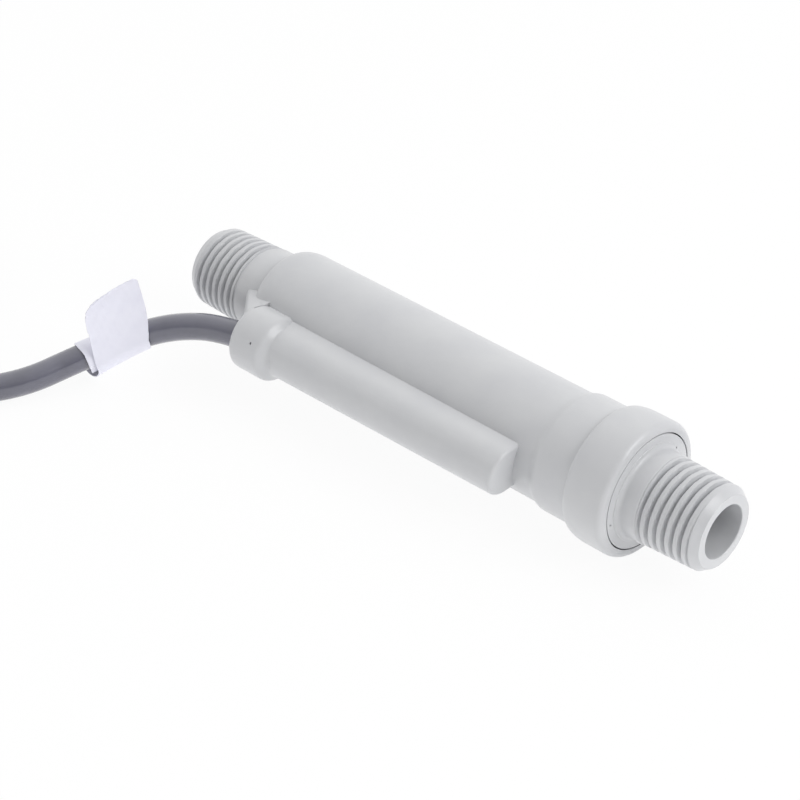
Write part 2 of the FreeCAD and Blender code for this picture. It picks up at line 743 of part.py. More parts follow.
NODES = {
    "main_housing": main_housing,
    "outlet_fitting": outlet_fitting,
    "outlet_o_ring": outlet_o_ring,
    "piston": piston,
    "piston_magnet": piston_magnet,
    "magnet_cap": magnet_cap,
    "return_spring": return_spring,
    "reed_capsule": reed_capsule,
    "reed_blade_front": reed_blade_front,
    "reed_blade_rear": reed_blade_rear,
    "splice_sleeve_front": lambda: splice_sleeve(x_front_splice, z_wire),
    "splice_sleeve_rear": lambda: splice_sleeve(x_rear_splice, z_glass),
    "inner_wire_front": lambda: inner_wire(z_wire, x_front_splice),
    "inner_wire_rear": lambda: inner_wire(z_glass, x_rear_splice),
    "potting_plug": potting_plug,
    "cable_lead": cable_lead,
    "cable_tag": cable_tag,
    "cable_coil": cable_coil,
    "coil_tie": coil_tie,
    "cable_tail": cable_tail,
    "lead_wire_black": lambda: lead_wire(1),
    "lead_wire_white": lambda: lead_wire(-1),
    "lead_tip_black": lambda: lead_tip(1),
    "lead_tip_white": lambda: lead_tip(-1),
}

os.makedirs("parts", exist_ok=True)
for name, make in NODES.items():
    shape = make()
    shape.exportStep(os.path.join("parts", name + ".step"))
    print(name, len(shape.Solids), round(shape.Volume, 2), shape.isValid())

route, arc_radii = cable_path()
plain_volume = route.Length * math.pi * CABLE_DIA ** 2 / 4
print("cable arc radii", [round(radius, 1) for radius in arc_radii])
print("cable lead length", round(route.Length, 1))
print("cable volume against section times length", round(cable_lead().Volume / plain_volume, 4))
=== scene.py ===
import bpy
import math
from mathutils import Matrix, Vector


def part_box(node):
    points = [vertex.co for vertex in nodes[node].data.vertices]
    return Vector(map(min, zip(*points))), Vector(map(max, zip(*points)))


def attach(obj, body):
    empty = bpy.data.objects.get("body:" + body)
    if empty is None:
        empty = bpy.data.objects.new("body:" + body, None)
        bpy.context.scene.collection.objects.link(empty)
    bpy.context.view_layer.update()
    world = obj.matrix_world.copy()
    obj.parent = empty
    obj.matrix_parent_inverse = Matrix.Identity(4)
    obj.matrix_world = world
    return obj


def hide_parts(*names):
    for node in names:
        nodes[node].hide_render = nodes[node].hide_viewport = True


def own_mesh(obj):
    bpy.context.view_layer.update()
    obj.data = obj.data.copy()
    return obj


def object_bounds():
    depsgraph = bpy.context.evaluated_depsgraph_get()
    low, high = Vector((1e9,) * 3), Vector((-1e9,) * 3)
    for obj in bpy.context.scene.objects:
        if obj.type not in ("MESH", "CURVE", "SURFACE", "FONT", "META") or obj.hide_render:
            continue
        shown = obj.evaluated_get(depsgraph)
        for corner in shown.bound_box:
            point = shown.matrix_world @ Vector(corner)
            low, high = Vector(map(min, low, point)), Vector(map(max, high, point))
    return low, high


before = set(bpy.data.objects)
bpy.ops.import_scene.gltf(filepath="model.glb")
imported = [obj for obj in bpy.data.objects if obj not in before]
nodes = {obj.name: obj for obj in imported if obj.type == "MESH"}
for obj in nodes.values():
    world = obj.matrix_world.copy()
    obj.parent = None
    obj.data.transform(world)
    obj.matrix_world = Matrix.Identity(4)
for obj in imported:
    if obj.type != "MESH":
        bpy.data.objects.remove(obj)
cad_low, cad_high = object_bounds()

# Housing: one grey moulding with the male inlet port, the long tube, the band and the collar.
# The bar that holds the switch and the cup that takes the cable are moulded on its flank, and
# the flow passage runs through it. Sizes in millimetres along the flow from the inlet face.
MM = 0.001
SIDES = 160
housing_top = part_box("main_housing")[1]
face_x = housing_top.x / MM
collar_radius = housing_top.z / MM
port_length = 10.2
port_bore_radius = 4.2
port_blank_radius = 6.6
inlet_tip_radius = 5.89
inlet_valley_x = 9.20
neck_lead = 1.0
neck_radius = 6.94
inlet_crest_radius = neck_radius - 0.1
shoulder_x = 15.55
tube_x = 18.71
tube_radius = 8.865
band_step_x = 72.61
band_x = 74.87
band_radius = 9.405
collar_step_x = 80.44
collar_x = 83.28
collar_edge = 1.07
step_foot = 0.35
tube_foot = step_foot * (tube_radius - neck_radius)
collar_foot = step_foot * (collar_radius - band_radius)
thread_pitch = 1.411
thread_depth = 0.95
thread_taper = 1 / 32
thread_run_out = 0.6
thread_rings = 96
thread_tip_bevel = 1.25
thread_tip_fade = 0.5
# Shares of half a pitch, from the middle of the valley: its flat floor, and the top of its flank.
thread_floor = 0.10
thread_flank = 0.56


def clear_selection():
    """Leaves edit mode with nothing selected."""
    if bpy.context.object and bpy.context.object.mode != "OBJECT":
        bpy.ops.object.mode_set(mode="OBJECT")
    bpy.ops.object.select_all(action="DESELECT")


def eased(value, start, end):
    """Smooth share from 0 at start to 1 at end."""
    share = min(1.0, max(0.0, (value - start) / (end - start)))
    return share * share * (3 - 2 * share)


def quarter_round(start, corner, end, steps):
    """Stations of a quarter ellipse after start, tangent to the sides that meet at corner."""
    points = []
    for step in range(1, steps + 1):
        turn = math.pi / 2 * step / steps
        points.append(tuple(
            s + (c - s) * math.sin(turn) + (e - c) * (1 - math.cos(turn))
            for s, c, e in zip(start, corner, end)
        ))
    return points


def eased_step(start, end, steps):
    """Stations of a smooth step that leaves and arrives along the flow."""
    middle = (start[0] + end[0]) / 2
    points = []
    for step in range(1, steps + 1):
        t = step / steps
        early = (1 - t) ** 3 + 3 * (1 - t) ** 2 * t
        inner = 3 * (1 - t) ** 2 * t + 3 * (1 - t) * t ** 2
        x = (1 - t) ** 3 * start[0] + inner * middle + t ** 3 * end[0]
        points.append((x, early * start[1] + (1 - early) * end[1]))
    return points


def draw_out(name, outline, offset=0.0, closed_ring=False):
    """Draws a circle out along the flow through (station, radius) pairs, about y = -offset.
    The ends are closed flat, or joined to each other where the outline comes back inside."""
    clear_selection()
    station, radius = outline[0]
    bpy.ops.mesh.primitive_circle_add(
        vertices=SIDES, radius=radius * MM, location=(station * MM, -offset * MM, 0),
        rotation=(0, math.pi / 2, 0),
    )
    shell = bpy.context.object
    shell.name = name
    shell.data.name = name
    bpy.ops.object.transform_apply(location=True, rotation=True, scale=True)
    bpy.ops.object.mode_set(mode="EDIT")
    bpy.ops.mesh.select_all(action="SELECT")
    for next_station, next_radius in outline[1:]:
        bpy.ops.mesh.extrude_region_move(
            TRANSFORM_OT_translate={"value": ((next_station - station) * MM, 0, 0)}
        )
        spread = next_radius / radius
        bpy.ops.transform.resize(
            value=(1, spread, spread), center_override=(next_station * MM, -offset * MM, 0)
        )
        station, radius = next_station, next_radius
    bpy.ops.mesh.select_all(action="DESELECT")
    bpy.ops.mesh.select_mode(type="EDGE")
    bpy.ops.mesh.select_non_manifold()
    if closed_ring:
        bpy.ops.mesh.bridge_edge_loops()
    else:
        bpy.ops.mesh.fill_holes(sides=0)
    bpy.ops.mesh.select_all(action="SELECT")
    bpy.ops.mesh.normals_make_consistent(inside=False)
    bpy.ops.object.mode_set(mode="OBJECT")
    return shell


def combine(piece, tool, operation):
    """Joins a tool shape to a piece or cuts it out, and clears the tool away."""
    clear_selection()
    bpy.context.view_layer.objects.active = piece
    piece.select_set(True)
    cut = piece.modifiers.new("cut", "BOOLEAN")
    cut.solver = "EXACT"
    cut.operation = operation
    cut.object = tool
    bpy.ops.object.modifier_apply(modifier=cut.name)
    bpy.data.objects.remove(tool)


def raise_thread(piece, root_x, tip_x, valley_x, crest_radius, tip_radius):
    """Lifts the skin of a port into one helical ridge with a rounded crest, from the neck's foot
    at root_x to the tip. valley_x is a valley on the side that faces -Y."""
    outward = 1 if tip_x > root_x else -1
    root_margin = 0.01
    bore_wall = 0.5
    for vertex in piece.data.vertices:
        x = vertex.co.x / MM
        radius = math.hypot(vertex.co.y, vertex.co.z) / MM
        run = (x - root_x) * outward
        if run <= root_margin or radius < port_bore_radius + bore_wall:
            continue
        left = (tip_x - x) * outward
        run_out = min(1.0, run / thread_run_out)
        turn = math.atan2(vertex.co.z, -vertex.co.y) / math.tau
        phase = (x - valley_x) / thread_pitch - turn
        from_valley = abs(phase - round(phase)) * 2
        height = eased(from_valley, thread_floor, thread_flank)
        crest = crest_radius - run * thread_taper
        smooth_tip = max(0.0, 1.0 - max(0.0, left - thread_tip_bevel) / thread_tip_fade)
        depth = thread_depth * run_out * (1 - smooth_tip) * (1 - height)
        wanted = min(crest - depth, tip_radius + left * (crest - tip_radius) / thread_tip_bevel)
        vertex.co.y *= wanted / radius
        vertex.co.z *= wanted / radius


outside = (
    [(port_length * ring / thread_rings, port_blank_radius) for ring in range(thread_rings + 1)]
    + [(port_length + neck_lead, neck_radius), (shoulder_x - tube_foot, neck_radius)]
    + quarter_round(
        (shoulder_x - tube_foot, neck_radius), (shoulder_x, neck_radius),
        (shoulder_x, neck_radius + tube_foot), steps=8
    )
    + quarter_round(
        (shoulder_x, neck_radius + tube_foot), (shoulder_x, tube_radius),
        (tube_x, tube_radius), steps=16
    )
    + [(band_step_x, tube_radius)]
    + eased_step((band_step_x, tube_radius), (band_x, band_radius), steps=16)
    + [(collar_step_x - collar_foot, band_radius)]
    + quarter_round(
        (collar_step_x - collar_foot, band_radius), (collar_step_x, band_radius),
        (collar_step_x, band_radius + collar_foot), steps=8
    )
    + quarter_round(
        (collar_step_x, band_radius + collar_foot), (collar_step_x, collar_radius),
        (collar_x, collar_radius), steps=16
    )
    + [(face_x - collar_edge, collar_radius)]
    + quarter_round(
        (face_x - collar_edge, collar_radius), (face_x, collar_radius),
        (face_x, collar_radius - collar_edge), steps=8
    )
)
housing = draw_out("housing", outside)

# The bar: a drafted block along the flank that holds the switch, moulded with the housing.
# Its outer side is half-round, and its closed end leans and has a small rounded edge.
bar_rear_reach = 14.45
bar_front_reach = 14.0
bar_rear_x = 19.6
bar_end_x = 70.31
bar_middle_x = (bar_rear_x + bar_end_x) / 2
bar_rear_half = 4.075
bar_front_half = 3.95
bar_root = 6.7
bar_crown_flat = 0.02
bar_end_edge = 0.6
bar_lean = math.tan(math.radians(5))
pick_room = 0.1
clear_selection()
bpy.ops.mesh.primitive_cube_add(
    size=1,
    location=(bar_middle_x * MM, -(bar_rear_reach + bar_root) / 2 * MM, 0),
    scale=((bar_end_x - bar_rear_x) * MM, (bar_rear_reach - bar_root) * MM, 2 * bar_rear_half * MM),
)
bar = bpy.context.object
bpy.ops.object.transform_apply(location=True, rotation=True, scale=True)
for vertex in bar.data.vertices:
    if vertex.co.x > bar_middle_x * MM:
        vertex.co.z = math.copysign(bar_front_half * MM, vertex.co.z)
        vertex.co.x += vertex.co.z * bar_lean
        if vertex.co.y < -bar_front_reach * MM:
            vertex.co.y = -bar_front_reach * MM


def pick_edges(piece, wanted):
    """Opens a piece for editing with only the edges selected that the test wants."""
    clear_selection()
    bpy.context.view_layer.objects.active = piece
    piece.select_set(True)
    bpy.ops.object.mode_set(mode="EDIT")
    bpy.ops.mesh.select_mode(type="EDGE")
    bpy.ops.mesh.select_all(action="DESELECT")
    bpy.ops.object.mode_set(mode="OBJECT")
    points = piece.data.vertices
    for edge in piece.data.edges:
        ends = [points[corner].co for corner in edge.vertices]
        edge.select = wanted(ends[0], ends[1])
    bpy.ops.object.mode_set(mode="EDIT")


outer_line = -(bar_front_reach - pick_room) * MM
long_edge = (bar_end_x - bar_rear_x) / 2 * MM
pick_edges(bar, lambda a, b: max(a.y, b.y) < outer_line and abs(a.x - b.x) > long_edge)
bpy.ops.mesh.bevel(
    offset=(bar_front_half - bar_crown_flat) * MM, segments=16, affect="EDGES", offset_type="OFFSET"
)
root_line = -(bar_root + pick_room) * MM
end_line = (bar_end_x - bar_front_half) * MM
pick_edges(bar, lambda a, b: min(a.x, b.x) > end_line and min(a.y, b.y) < root_line)
bpy.ops.mesh.bevel(offset=bar_end_edge * MM, segments=6, affect="EDGES")
bpy.ops.object.mode_set(mode="OBJECT")
combine(housing, bar, "UNION")

# The cup: a short round boss over the bar's rear end, moulded with it and open at the back,
# where the cable goes in. It steps down to the bar in a smooth curve.
cup_offset = 10.65
cup_radius = 5.25
cup_rear_edge = 0.6
cup_shoulder_x = 24.0
cup_end_x = 26.2
cup_end_radius = 3.8
cup_outline = (
    [(tube_x, cup_radius - cup_rear_edge)]
    + quarter_round(
        (tube_x, cup_radius - cup_rear_edge), (tube_x, cup_radius),
        (tube_x + cup_rear_edge, cup_radius), steps=6
    )
    + [(cup_shoulder_x, cup_radius)]
    + eased_step((cup_shoulder_x, cup_radius), (cup_end_x, cup_end_radius), steps=16)
)
combine(housing, draw_out("cup", cup_outline, cup_offset), "UNION")

# The web: a thin triangle above the cable, moulded between the cup's rear rim and the inlet neck.
# It dips a little at the neck, rises where it meets the tube, and its slanted edges are rounded.
web_top = 4.35
web_thickness = 0.9
web_drop = 0.6
web_lift = 0.9
web_edge = 0.8
web_start = (12.41, -5.53)
web_end = (19.51, -13.33)
web_root_step = 1.0
web_corners = (
    (web_start[0], web_start[1], -web_drop),
    (web_end[0], web_end[1], 0.0),
    (web_end[0], web_start[1] + web_root_step, web_lift),
)
clear_selection()
bpy.ops.mesh.primitive_circle_add(
    vertices=3, radius=MM, fill_type="NGON", location=(0, 0, (web_top - web_thickness) * MM)
)
web = bpy.context.object
bpy.ops.object.transform_apply(location=True, rotation=True, scale=True)
for vertex, (x, y, rise) in zip(web.data.vertices, web_corners):
    vertex.co.x = x * MM
    vertex.co.y = y * MM
    vertex.co.z += rise * MM
bpy.ops.object.mode_set(mode="EDIT")
bpy.ops.mesh.select_all(action="SELECT")
bpy.ops.mesh.extrude_region_move(TRANSFORM_OT_translate={"value": (0, 0, web_thickness * MM)})
bpy.ops.mesh.select_all(action="SELECT")
bpy.ops.mesh.normals_make_consistent(inside=False)
web_upper = (web_top - web_drop - pick_room) * MM
web_slant = web_root_step / 2 * MM
pick_edges(web, lambda a, b: min(a.z, b.z) > web_upper
           and min(abs(a.x - b.x), abs(a.y - b.y)) > web_slant)
bpy.ops.mesh.bevel(offset=web_edge * MM, segments=8, affect="EDGES")
bpy.ops.object.mode_set(mode="OBJECT")
combine(housing, web, "UNION")

# The hollows, made by the mould's cores: the flow passage with its seat for the piston and its
# socket for the outlet fitting, the cup's bore, and the pocket for the switch.
seat_x = 27.0
metering_radius = 6.2
metering_end_x = 34.0
chamber_x = 34.8
chamber_radius = 6.6
socket_x = 78.85
socket_radius = 7.8
flange_x = face_x - 2.0
mouth_radius = 9.15
cup_bore_radius = 3.7
cup_bore_x = 24.51
pocket_offset = 10.1
pocket_radius = 2.3
pocket_end_x = 66.91
pocket_overlap = 0.3
past_face = 1.0
passage = draw_out("passage", [
    (-past_face, port_bore_radius), (seat_x, port_bore_radius), (seat_x, metering_radius),
    (metering_end_x, metering_radius), (chamber_x, chamber_radius), (socket_x, chamber_radius),
    (socket_x, socket_radius), (flange_x, socket_radius), (flange_x, mouth_radius),
    (face_x + past_face, mouth_radius),
])
combine(housing, passage, "DIFFERENCE")
cup_bore = draw_out(
    "cup_bore", [(tube_x - past_face, cup_bore_radius), (cup_bore_x, cup_bore_radius)], cup_offset
)
combine(housing, cup_bore, "DIFFERENCE")
pocket = draw_out(
    "pocket", [(cup_bore_x - pocket_overlap, pocket_radius), (pocket_end_x, pocket_radius)],
    pocket_offset,
)
combine(housing, pocket, "DIFFERENCE")

# Marks of the mould: a short narrow gap behind the cup's rim, and a pin hole in the cup's side
# that points at its axis.
gap_place = (19.42, -9.1, 5.1)
gap_size = (0.22, 3.0, 2.2)
gap_turn = math.radians(-5)
pin_hole_place = (23.03, -14.98, 2.64)
pin_hole_radius = 0.2
pin_hole_turn = math.radians(58.6)
mark_depth = 1.2
clear_selection()
bpy.ops.mesh.primitive_cube_add(
    size=1, location=[side * MM for side in gap_place], scale=[side * MM for side in gap_size],
    rotation=(0, 0, gap_turn),
)
rim_gap = bpy.context.object
bpy.ops.object.transform_apply(location=True, rotation=True, scale=True)
combine(housing, rim_gap, "DIFFERENCE")


def prick(piece, place, radius, rotation):
    """Cuts a small round hole into a piece, half of its depth below the surface."""
    clear_selection()
    bpy.ops.mesh.primitive_cylinder_add(
        vertices=16, radius=radius * MM, depth=mark_depth * MM,
        location=[side * MM for side in place], rotation=rotation,
    )
    drill = bpy.context.object
    bpy.ops.object.transform_apply(location=True, rotation=True, scale=True)
    combine(piece, drill, "DIFFERENCE")


prick(housing, pin_hole_place, pin_hole_radius, (pin_hole_turn, 0, 0))
raise_thread(housing, port_length, 0.0, inlet_valley_x, inlet_crest_radius, inlet_tip_radius)


def finish_mesh(piece, angle=32):
    """Merges doubles, points the faces outwards and smooths all but the real edges."""
    clear_selection()
    bpy.context.view_layer.objects.active = piece
    piece.select_set(True)
    bpy.ops.object.mode_set(mode="EDIT")
    bpy.ops.mesh.select_all(action="SELECT")
    bpy.ops.mesh.remove_doubles(threshold=0.001 * MM)
    bpy.ops.mesh.normals_make_consistent(inside=False)
    bpy.ops.object.mode_set(mode="OBJECT")
    bpy.ops.object.shade_smooth_by_angle(angle=math.radians(angle))


finish_mesh(housing)


def srgb(code):
    """Linear colour of an sRGB hex value."""
    parts = [int(code[i:i + 2], 16) / 255 for i in (1, 3, 5)]
    return [p / 12.92 if p <= 0.04045 else ((p + 0.055) / 1.055) ** 2.4 for p in parts] + [1.0]


def add(owner, kind, settings, links=None):
    """Adds one node to a material or the world, with its settings and its input links."""
    tree = owner.node_tree
    node = tree.nodes.new(kind)
    for name, value in settings.items():
        if name in node.inputs:
            node.inputs[name].default_value = value
        else:
            setattr(node, name, value)
    for name, output in (links or {}).items():
        tree.links.new(output, node.inputs[name])
    return node


def new_material(name):
    """Node material with nothing in it yet."""
    material = bpy.data.materials.new(name)
    material.use_nodes = True
    material.node_tree.nodes.clear()
    return material


def grained(name, tints, patch, grain, roughness, relief, **sockets):
    """Material with a faint change of tint in patches, which also swell a little, and a fine grain
    that breaks up its gloss. patch and grain are in millimetres, and the sockets are the surface's."""
    tint_stops = (0.3, 0.7)
    swell_height = 0.03 * patch * MM
    grain_height = 0.15 * grain * MM
    material = new_material(name)
    place = add(material, "ShaderNodeTexCoord", {}).outputs["Object"]
    mottle = add(
        material, "ShaderNodeTexNoise", {"Scale": 1 / (patch * MM), "Detail": 3.0}, {"Vector": place}
    )
    tint = add(material, "ShaderNodeValToRGB", {}, {"Fac": mottle.outputs["Fac"]})
    for element, position, code in zip(tint.color_ramp.elements, tint_stops, tints):
        element.position = position
        element.color = srgb(code)
    speckle = add(
        material, "ShaderNodeTexNoise", {"Scale": 1 / (grain * MM), "Detail": 2.0}, {"Vector": place}
    )
    dull = add(
        material, "ShaderNodeMapRange", {"To Min": roughness[0], "To Max": roughness[1]},
        {"Value": speckle.outputs["Fac"]},
    )
    swell = add(
        material, "ShaderNodeBump", {"Strength": 1.0, "Distance": swell_height},
        {"Height": mottle.outputs["Fac"]},
    )
    bump = add(
        material, "ShaderNodeBump", {"Strength": relief, "Distance": grain_height},
        {"Height": speckle.outputs["Fac"], "Normal": swell.outputs["Normal"]},
    )
    surface = add(
        material, "ShaderNodeBsdfPrincipled", sockets,
        {
            "Base Color": tint.outputs["Color"],
            "Roughness": dull.outputs["Result"],
            "Normal": bump.outputs["Normal"],
        },
    )
    add(material, "ShaderNodeOutputMaterial", {}, {"Surface": surface.outputs["BSDF"]})
    return material


# Filled grey plastic out of a spark-eroded mould: satin, faintly mottled, with a fine even grain.
# The real grain is about 0.05 mm; it is drawn at 0.22 mm so that it shows.
grey_plastic = grained(
    "moulded_grey_plastic", ("#c6c7ca", "#cbccce"), 7, 0.22, (0.26, 0.36), 0.12, IOR=1.6
)
housing.data.materials.append(grey_plastic)
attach(housing, "sensor_body")
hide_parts("main_housing")

# Outlet fitting: a second moulding of the same plastic, bonded into the collar by its spigot.
# Its flange lies flush in the collar, with a thin seam round it and two small pits in its face,
# and carries the male port on a low ring.
outlet_low, outlet_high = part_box("outlet_fitting")
outlet_x = outlet_high.x / MM
spigot_x = outlet_low.x / MM
spigot_radius = 7.7
spring_pocket_radius = 5.5
spring_seat_x = 83.95
groove_x = (82.2, 84.1)
groove_radius = 6.5
flange_radius = 8.95
flange_edge = 0.06
ring_radius = 7.65
ring_height = 0.9
ring_edge = 0.15
ring_lean = 0.05
outlet_thread_x = outlet_x - port_length
outlet_thread_lead = 0.02
outlet_tip_radius = 5.68
outlet_crest_radius = 6.85
outlet_valley_x = 91.40
neck_edge = 0.3
bore_edge = 0.1
pit_radius = 0.16
pit_places = [(face_x, 5.9, 4.6), (face_x, -8.2, -1.4)]
outlet_thread_length = port_length - outlet_thread_lead
fitting_outline = (
    [
        (spigot_x, spring_pocket_radius), (spigot_x, spigot_radius),
        (groove_x[0], spigot_radius), (groove_x[0], groove_radius),
        (groove_x[1], groove_radius), (groove_x[1], spigot_radius),
        (flange_x, spigot_radius), (flange_x, flange_radius), (face_x - flange_edge, flange_radius),
    ]
    + quarter_round(
        (face_x - flange_edge, flange_radius), (face_x, flange_radius),
        (face_x, flange_radius - flange_edge), steps=4
    )
    + [(face_x, ring_radius + ring_edge)]
    + quarter_round(
        (face_x, ring_radius + ring_edge), (face_x, ring_radius),
        (face_x + ring_edge, ring_radius), steps=3
    )
    + quarter_round(
        (face_x + ring_edge, ring_radius), (face_x + ring_edge + ring_lean, neck_radius),
        (face_x + ring_height, neck_radius), steps=8
    )
    + [(outlet_thread_x - neck_edge, neck_radius)]
    + quarter_round(
        (outlet_thread_x - neck_edge, neck_radius), (outlet_thread_x, neck_radius),
        (outlet_thread_x, neck_radius - neck_edge), steps=4
    )
    + [
        (
            outlet_thread_x + outlet_thread_lead + outlet_thread_length * ring / thread_rings,
            outlet_crest_radius,
        )
        for ring in range(thread_rings + 1)
    ]
    + [
        (outlet_x, port_bore_radius + bore_edge), (outlet_x - bore_edge, port_bore_radius),
        (spring_seat_x, port_bore_radius), (spring_seat_x, spring_pocket_radius),
    ]
)
fitting = draw_out("outlet_port", fitting_outline, closed_ring=True)
for pit_place in pit_places:
    prick(fitting, pit_place, pit_radius, (0, math.pi / 2, 0))
raise_thread(
    fitting, outlet_thread_x, outlet_x, outlet_valley_x, outlet_crest_radius, outlet_tip_radius
)
finish_mesh(fitting)
fitting.data.materials.append(grey_plastic)
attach(fitting, "sensor_body")
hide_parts("outlet_fitting")


# O-ring: moulded black nitrile rubber in the spigot's groove, squeezed against the socket.
# It is almost black, with the dull soft sheen of rubber.
def dress(material, *names):
    """Gives carried-over pieces their material."""
    for name in names:
        nodes[name].data.materials.clear()
        nodes[name].data.materials.append(material)


nitrile = grained("moulded_nitrile", ("#17171a", "#1d1d20"), 2, 0.2, (0.5, 0.65), 0.2, IOR=1.5)
dress(nitrile, "outlet_o_ring")

# Shuttle: the piston, and the cap that closes its magnet pocket, turned from natural acetal.
# The waxy white plastic lets a little light in and has a satin face.
acetal = grained(
    "turned_acetal", ("#dcdbd5", "#e3e2dd"), 4, 0.25, (0.32, 0.46), 0.1, IOR=1.48,
    **{"Subsurface Weight": 0.1, "Subsurface Scale": 0.4 * MM},
)
dress(acetal, "piston", "magnet_cap")

# Magnet: a pressed and ground ferrite rod, held in the piston's pocket by the cap.
# It is dark grey and finely pitted, with a hard uneven gloss.
ferrite = grained("ground_ferrite", ("#3b3b3f", "#47474b"), 1.5, 0.18, (0.35, 0.6), 0.3, IOR=2.3)
dress(ferrite, "piston_magnet")

# Return spring: drawn stainless wire, nine open turns between the cap and the fitting's seat.
# It closes up towards the seat as the piston moves with the flow. The wire is bright, with a
# slightly uneven gloss from the die.
spring_start_x = 50.5
spring_turns = 9
spring_radius = 4.8
wire_radius = 0.3
clear_selection()
bpy.ops.mesh.primitive_circle_add(
    vertices=12, radius=wire_radius * MM, rotation=(math.pi / 2, 0, 0),
    location=(spring_start_x * MM, 0, spring_radius * MM),
)
spring = bpy.context.object
spring.name = "spring_wire"
bpy.ops.object.transform_apply(location=True, rotation=True, scale=True)
winding = spring.modifiers.new("winding", "SCREW")
winding.axis = "X"
winding.iterations = spring_turns
winding.screw_offset = (spring_seat_x - wire_radius - spring_start_x) / spring_turns * MM
winding.steps = 36
winding.render_steps = 36
bpy.ops.object.modifier_apply(modifier=winding.name)
bpy.ops.object.mode_set(mode="EDIT")
bpy.ops.mesh.select_all(action="SELECT")
bpy.ops.mesh.fill_holes(sides=0)
bpy.ops.object.mode_set(mode="OBJECT")
finish_mesh(spring, 50)
drawn_steel = grained(
    "drawn_stainless_wire", ("#b4b3b0", "#c2c1be"), 0.8, 0.12, (0.22, 0.36), 0.1, Metallic=1.0
)
spring.data.materials.append(drawn_steel)
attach(spring, "sensor_body")
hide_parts("return_spring")
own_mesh(spring)

# Reed switch: two plated nickel-iron blades sealed in a thin glass tube, with crimped sleeves of
# tinned brass on their leads. The glass is clear with the green tint of such tubes, the blades
# are pale and bright, and the sleeves a little yellower and duller.
reed_glass = grained(
    "sealed_reed_glass", ("#cfe3d4", "#d9ebde"), 3, 0.4, (0.02, 0.06), 0.02, IOR=1.52,
    **{"Transmission Weight": 1.0},
)
plated_reed = grained(
    "plated_nickel_iron", ("#c6bfb0", "#d0cabd"), 0.8, 0.1, (0.2, 0.32), 0.08, Metallic=1.0
)
tinned_brass = grained(
    "tinned_brass", ("#c4bda9", "#d2ccbc"), 0.7, 0.1, (0.28, 0.42), 0.12, Metallic=1.0
)
dress(reed_glass, "reed_capsule")
dress(plated_reed, "reed_blade_front", "reed_blade_rear")
dress(tinned_brass, "splice_sleeve_front", "splice_sleeve_rear")

# Cores and potting: the two PVC-covered wires from the cable to the switch, black and white with
# a satin skin, and the black epoxy poured into the cup round them, which cures to a glossy,
# slightly wavy face. The same covers show on the stripped end of the cable.
black_core = grained(
    "extruded_black_pvc", ("#1b1b1d", "#222225"), 1.5, 0.15, (0.38, 0.5), 0.1, IOR=1.53
)
white_core = grained(
    "extruded_white_pvc", ("#dededa", "#e6e6e2"), 1.5, 0.15, (0.38, 0.5), 0.1, IOR=1.53
)
epoxy = grained(
    "cast_black_epoxy", ("#2a2a2d", "#313135"), 1.2, 0.9, (0.12, 0.22), 0.25, IOR=1.55
)
dress(black_core, "inner_wire_front", "lead_wire_black")
dress(white_core, "inner_wire_rear", "lead_wire_white")
dress(epoxy, "potting_plug")

# Cable: grey round two-core lead, extruded PVC, potted into the cup. It drops to the table in an
# easy bend, and the put-away length lies in a tied coil of two layers, with its stripped end in
# the upper one.
cable_radius = 2.15
cable_floor = cad_low.z / MM + cable_radius
cable_route = [
    (22.61, -11.0, 0.0), (14.4, -11.9, -0.1), (6.6, -15.2, -1.4), (0.3, -20.1, -4.3),
    (-4.1, -27.2, -6.9), (-6.8, -35.5, cable_floor), (-11.2, -42.9, cable_floor),
    (-17.7, -49.2, cable_floor), (-24.8, -53.3, cable_floor), (-35.3, -56.7, cable_floor),
    (-45.1, -58.9, cable_floor), (-54.3, -59.7, cable_floor),
]
coil_radius = 23.7
coil_gap = 0.07
coil_pitch = 2 * cable_radius + coil_gap
coil_turns = 3.4
turn_points = 24
# Each change of track or layer: the turn where it starts and ends, the step inwards and upwards.
coil_steps = [
    (0.80, 1.00, coil_pitch, 0.0),
    (1.72, 1.95, 0.0, 2 * cable_radius),
    (2.50, 2.72, -coil_pitch, 0.0),
]
joint_point = Vector(cable_route[-1])
heading = (joint_point - Vector(cable_route[-2])).normalized()
coil_centre = joint_point + heading.cross(Vector((0, 0, 1))) * coil_radius
spoke = joint_point - coil_centre
joint_angle = math.atan2(spoke.y, spoke.x)
outside_arc = 1 / math.cos(math.pi / turn_points)
cable_points = list(cable_route)
for step in range(1, round(coil_turns * turn_points) + 1):
    turned = step / turn_points
    radius, level = coil_radius, cable_floor
    for start, end, inwards, upwards in coil_steps:
        share = eased(turned, start, end)
        radius -= inwards * share
        level += upwards * share
    angle = joint_angle - math.tau * turned
    cable_points.append((
        coil_centre.x + radius * outside_arc * math.cos(angle),
        coil_centre.y + radius * outside_arc * math.sin(angle),
        level,
    ))
cable_line = bpy.data.curves.new("cable", "CURVE")
cable_line.dimensions = "3D"
spline = cable_line.splines.new("NURBS")
spline.points.add(len(cable_points) - 1)
for point, (x, y, z) in zip(spline.points, cable_points):
    point.co = (x * MM, y * MM, z * MM, 1.0)
spline.order_u = 3
spline.use_endpoint_u = True
spline.resolution_u = 8
cable = bpy.data.objects.new("cable", cable_line)
bpy.context.scene.collection.objects.link(cable)
bpy.context.view_layer.update()
cable_trace = bpy.data.meshes.new_from_object(cable)
cable_way = [vertex.co.copy() / MM for vertex in cable_trace.vertices]
cable_line.bevel_depth = cable_radius * MM
cable_line.bevel_resolution = 10
cable_line.use_fill_caps = True

